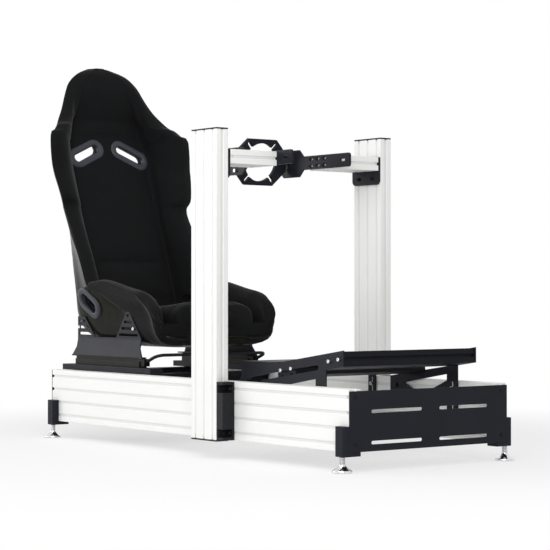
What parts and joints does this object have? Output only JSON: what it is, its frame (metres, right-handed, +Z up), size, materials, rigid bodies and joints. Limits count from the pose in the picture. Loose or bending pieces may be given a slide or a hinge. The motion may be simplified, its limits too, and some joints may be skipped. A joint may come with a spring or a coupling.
{
  "type": "sim racing cockpit",
  "caption": "Free-standing sim racing cockpit: white aluminium profile frame with a bucket seat on sliders, a tilting wheel plate and a tilting pedal tray.",
  "frame": {"origin": "on the floor under the middle of the overall box", "axes": "+X forward to the pedals, +Y to the driver's left, +Z up"},
  "size_m": [1.671, 0.632, 1.1936],
  "materials": {
    "white_profile": "smooth white powder coat",
    "groove_cover": "satin white plastic",
    "black_plastic": "fine-grained black plastic",
    "black_steel": "satin black powder coat",
    "black_profile": "black anodised aluminium",
    "foot_chrome": "bright plated steel",
    "slider_steel": "black phosphated steel",
    "bolt_steel": "black oxide steel",
    "seat_shell_gloss": "black gel coat",
    "seat_fabric": "black knitted fabric over foam",
    "bezel_plastic": "dark grey plastic"
  },
  "bodies": {
    "frame": {"rail_right": "white_profile", "rail_left": "white_profile", "upright_right": "white_profile", "upright_left": "white_profile", "wheel_beam_right": "white_profile", "wheel_beam_left": "white_profile", "groove_strips": "groove_cover", "rail_end_caps": "black_plastic", "upright_caps": "black_plastic", "upright_bracket_right": "black_steel", "upright_bracket_left": "black_steel", "front_plate": "black_steel", "foot_brackets": "black_steel", "beam_plate_right": "black_steel", "beam_plate_left": "black_steel", "wheel_side_plate_right": "black_steel", "wheel_side_plate_left": "black_steel", "seat_base_bar_right": "black_steel", "seat_base_bar_left": "black_steel", "seat_crossbar_rear": "black_profile", "seat_crossbar_front": "black_profile", "levelling_feet": "foot_chrome", "slider_rail_right": "slider_steel", "slider_rail_left": "slider_steel", "pivot_bolts": "bolt_steel"},
    "seat": {"seat_shell": "seat_shell_gloss", "seat_cushion": "seat_fabric", "back_pad": "seat_fabric", "headrest_pad": "seat_fabric", "thigh_bolster_right": "seat_fabric", "thigh_bolster_left": "seat_fabric", "back_bolster_right": "seat_fabric", "back_bolster_left": "seat_fabric", "belt_bezels": "bezel_plastic", "seat_bracket_right": "black_steel", "seat_bracket_left": "black_steel", "slider_runner_right": "slider_steel", "slider_runner_left": "slider_steel"},
    "lever": {"slider_lever": "slider_steel"},
    "wheel": {"wheel_plate": "black_steel"},
    "tray": {"tray_side_right": "black_steel", "tray_side_left": "black_steel", "tray_beam_front": "black_profile", "tray_beam_mid": "black_profile", "heel_plate": "black_steel"}
  },
  "joints": [
    {"name": "seat_slide", "type": "slide", "parent": "frame", "child": "seat", "axis": [1, 0, 0], "range_m": [-0.08, 0.08]},
    {"name": "lever_lift", "type": "hinge", "parent": "seat", "child": "lever", "pos_m": [-0.215, 0, 0.2448], "axis": [0, -1, 0], "range_deg": [0, 12], "stiffness_Nm_per_rad": 1.5, "springref_deg": -17.19},
    {"name": "wheel_tilt", "type": "hinge", "parent": "frame", "child": "wheel", "pos_m": [0.083, 0, 0.838], "axis": [0, 1, 0], "range_deg": [-15, 15]},
    {"name": "tray_tilt", "type": "hinge", "parent": "frame", "child": "tray", "pos_m": [0.424, 0, 0.192], "axis": [0, -1, 0], "range_deg": [-4, 8]}
  ]
}
